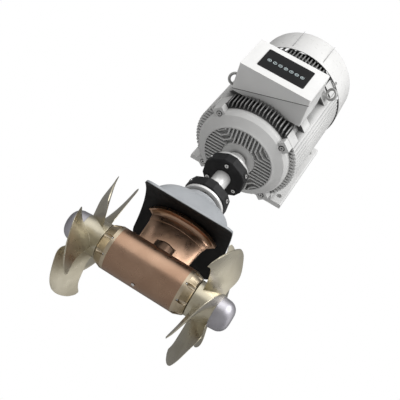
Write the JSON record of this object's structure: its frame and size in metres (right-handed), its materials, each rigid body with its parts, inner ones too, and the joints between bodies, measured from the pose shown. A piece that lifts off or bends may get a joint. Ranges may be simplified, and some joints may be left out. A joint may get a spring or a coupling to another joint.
{
  "type": "underwater thruster",
  "caption": "Twin propeller tunnel thruster: bronze gear leg, saddle for the tunnel, flexible coupling and foot mounted electric motor.",
  "frame": {"origin": "where the propeller axis crosses the drive axis, in the middle of the gear pod", "axes": "+X along the propeller axis, +Z along the drive axis towards the motor, +Y towards the motor feet"},
  "size_m": [0.682, 0.5966, 1.6545],
  "materials": {
    "leg_bronze": "machined bronze casting",
    "ring_brass": "turned brass, satin",
    "blade_bronze": "ground and polished nickel aluminium bronze",
    "brass_trim": "turned brass",
    "anode_zinc": "cast zinc, satin",
    "stainless": "satin stainless steel",
    "dark_steel": "blackened steel",
    "bearing_steel": "ground bearing steel",
    "shaft_steel": "ground steel",
    "gear_steel": "case hardened steel",
    "hub_steel": "turned steel, bright",
    "saddle_cast": "light grey satin paint on a casting",
    "black_rubber": "moulded nitrile rubber",
    "element_rubber": "moulded natural rubber",
    "motor_grey": "light grey enamel on cast iron",
    "shield_grey": "grey enamel on cast iron",
    "cowl_white": "near white enamel on sheet steel",
    "cover_white": "near white enamel on cast aluminium",
    "box_grey": "grey enamel on cast aluminium",
    "plate_black": "black plastic plate",
    "block_plastic": "brown moulded phenolic",
    "fan_plastic": "moulded nylon",
    "lamination": "stacked electrical steel",
    "copper_winding": "varnished copper wire"
  },
  "bodies": {
    "housing": {"gear_leg": "leg_bronze", "pod_drain_plug": "brass_trim", "end_ring_right": "ring_brass", "end_ring_left": "ring_brass", "end_ring_bolts": "stainless", "shaft_bearing_outer_right": "bearing_steel", "shaft_bearing_outer_left": "bearing_steel", "shaft_seals": "black_rubber", "drive_bearing_outer_rings": "bearing_steel", "saddle_bell": "saddle_cast", "saddle_gasket": "black_rubber", "leg_dowels": "stainless", "clamp_nut": "dark_steel", "motor_frame": "motor_grey", "drive_end_shield": "shield_grey", "bearing_cap": "shield_grey", "rear_end_shield": "shield_grey", "shield_bolts": "stainless", "stator_core": "lamination", "stator_windings": "copper_winding", "fan_cowl": "cowl_white", "cowl_screws": "stainless", "terminal_box_base": "box_grey", "terminal_box_cover": "cover_white", "terminal_box_gasket": "black_rubber", "control_plate": "plate_black", "terminal_block": "block_plastic", "cable_glands": "brass_trim", "cover_screws": "stainless", "lifting_eyes": "stainless"},
    "drive_train": {"input_shaft": "shaft_steel", "pinion": "gear_steel", "drive_bearing_inner_rings": "bearing_steel", "lower_coupling_hub": "hub_steel", "lower_rubber_element": "element_rubber", "joint_shaft": "shaft_steel", "upper_rubber_element": "element_rubber", "upper_coupling_hub": "hub_steel", "coupling_axial_screws": "stainless", "coupling_radial_screws": "stainless", "motor_shaft": "shaft_steel", "motor_shaft_key": "shaft_steel", "rotor_core": "lamination", "cooling_fan": "fan_plastic"},
    "propeller_right_unit": {"propeller_shaft_right": "shaft_steel", "crown_gear_right": "gear_steel", "propeller_right": "blade_bronze", "propeller_nut_right": "brass_trim", "propeller_key_right": "shaft_steel", "anode_right": "anode_zinc", "anode_screw_right": "stainless", "shaft_bearing_inner_right": "bearing_steel"},
    "propeller_left_unit": {"propeller_shaft_left": "shaft_steel", "crown_gear_left": "gear_steel", "propeller_left": "blade_bronze", "propeller_nut_left": "brass_trim", "propeller_key_left": "shaft_steel", "anode_left": "anode_zinc", "anode_screw_left": "stainless", "shaft_bearing_inner_left": "bearing_steel"}
  },
  "joints": [
    {"name": "drive_spin", "type": "hinge", "parent": "housing", "child": "drive_train", "pos_m": [0, 0, 0], "axis": [0, 0, 1], "continuous": true},
    {"name": "propeller_right_spin", "type": "hinge", "parent": "housing", "child": "propeller_right_unit", "pos_m": [0, 0, 0], "axis": [1, 0, 0], "continuous": true},
    {"name": "propeller_left_spin", "type": "hinge", "parent": "housing", "child": "propeller_left_unit", "pos_m": [0, 0, 0], "axis": [1, 0, 0], "continuous": true}
  ],
  "couplings": [
    {"joint": "propeller_right_spin", "follows": "drive_spin", "ratio": -0.5},
    {"joint": "propeller_left_spin", "follows": "drive_spin", "ratio": 0.5}
  ]
}
